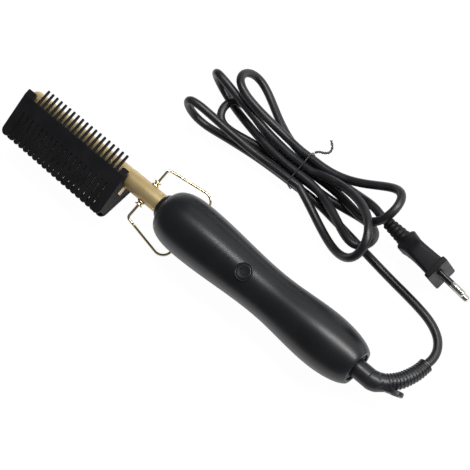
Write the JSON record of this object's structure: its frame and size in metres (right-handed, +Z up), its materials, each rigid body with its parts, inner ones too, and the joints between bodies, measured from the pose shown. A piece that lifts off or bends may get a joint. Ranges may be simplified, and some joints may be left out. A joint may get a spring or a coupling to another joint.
{
  "type": "hot comb",
  "caption": "Electric hot comb with a slotted guard over a heated barrel, rounded handle with a power button, folding wire stand, swivelling cord and two-pin plug.",
  "frame": {"origin": "centre of the comb without its cord, on the table it lies on", "axes": "+X from the comb's tip to the rear of the handle, +Y towards the short upper teeth, +Z up through the button"},
  "size_m": [0.3171, 0.1367, 0.0393],
  "materials": {
    "anodised_gold": "satin anodised",
    "brass_comb": "satin",
    "guard_plastic": "moulded, fine grain",
    "screw_steel": "zinc plated",
    "heater_ceramic": "fired",
    "clamp_aluminium": "extruded",
    "sensor_bead": "glass bead",
    "fuse_metal": "drawn",
    "lead_insulation": "glass braid",
    "collar_plastic": "moulded",
    "insulator": "fired",
    "handle_coating": "soft-touch coating",
    "button_plastic": "moulded",
    "ring_plastic": "moulded",
    "switch_plastic": "moulded",
    "plunger_metal": "plain",
    "circuit_board": "solder mask",
    "component_resin": "moulded",
    "lamp_lens": "clear resin",
    "clear_plastic": "clear acrylic",
    "stand_brass": "polished plating",
    "cord_vinyl": "soft vinyl",
    "wire_insulation": "vinyl",
    "tie_coating": "vinyl coated wire",
    "plug_vinyl": "moulded vinyl",
    "pin_nickel": "nickel plated",
    "pin_insulation": "moulded"
  },
  "bodies": {
    "root": {"barrel": "anodised_gold", "barrel_tip_cap": "anodised_gold", "metal_comb": "brass_comb", "sleeve": "anodised_gold", "guard_front": "guard_plastic", "guard_back": "guard_plastic", "guard_screws": "screw_steel", "heater_plate": "heater_ceramic", "heater_clamps": "clamp_aluminium", "temperature_sensor": "sensor_bead", "thermal_fuse": "fuse_metal", "heater_leads": "lead_insulation", "front_collar": "collar_plastic", "insulator_bush": "insulator", "handle_top_shell": "handle_coating", "handle_bottom_shell": "handle_coating", "shell_screws": "screw_steel", "button_ring": "ring_plastic", "push_switch": "switch_plastic", "control_board": "circuit_board", "board_components": "component_resin", "indicator_lamps": "lamp_lens", "light_pipe": "clear_plastic", "stand_ferrules": "stand_brass", "tail_ring": "ring_plastic", "supply_wires": "wire_insulation", "cord_lead": "cord_vinyl", "cord_hank": "cord_vinyl", "plug_lead": "cord_vinyl", "twist_tie": "tie_coating", "tie_tail": "tie_coating", "plug_body": "plug_vinyl", "plug_pins": "pin_nickel", "pin_sleeves": "pin_insulation"},
    "button": {"power_button": "button_plastic", "switch_plunger": "plunger_metal"},
    "stand": {"stand_wire": "stand_brass"},
    "swivel": {"strain_relief": "cord_vinyl"}
  },
  "joints": [
    {"name": "button_press", "type": "slide", "parent": "root", "child": "button", "axis": [0, 0, -1], "range_m": [0, 0.0008], "stiffness_N_per_m": 600, "springref_m": -0.002},
    {"name": "stand_fold", "type": "hinge", "parent": "root", "child": "stand", "pos_m": [-0.0299, 0.00287, 0.02039], "axis": [0, 1, 0], "range_deg": [0, 100]},
    {"name": "cord_swivel", "type": "hinge", "parent": "root", "child": "swivel", "pos_m": [0.1431, 0.00287, 0.02039], "axis": [1, 0, 0], "continuous": true, "deforming": ["cord_lead"]}
  ]
}
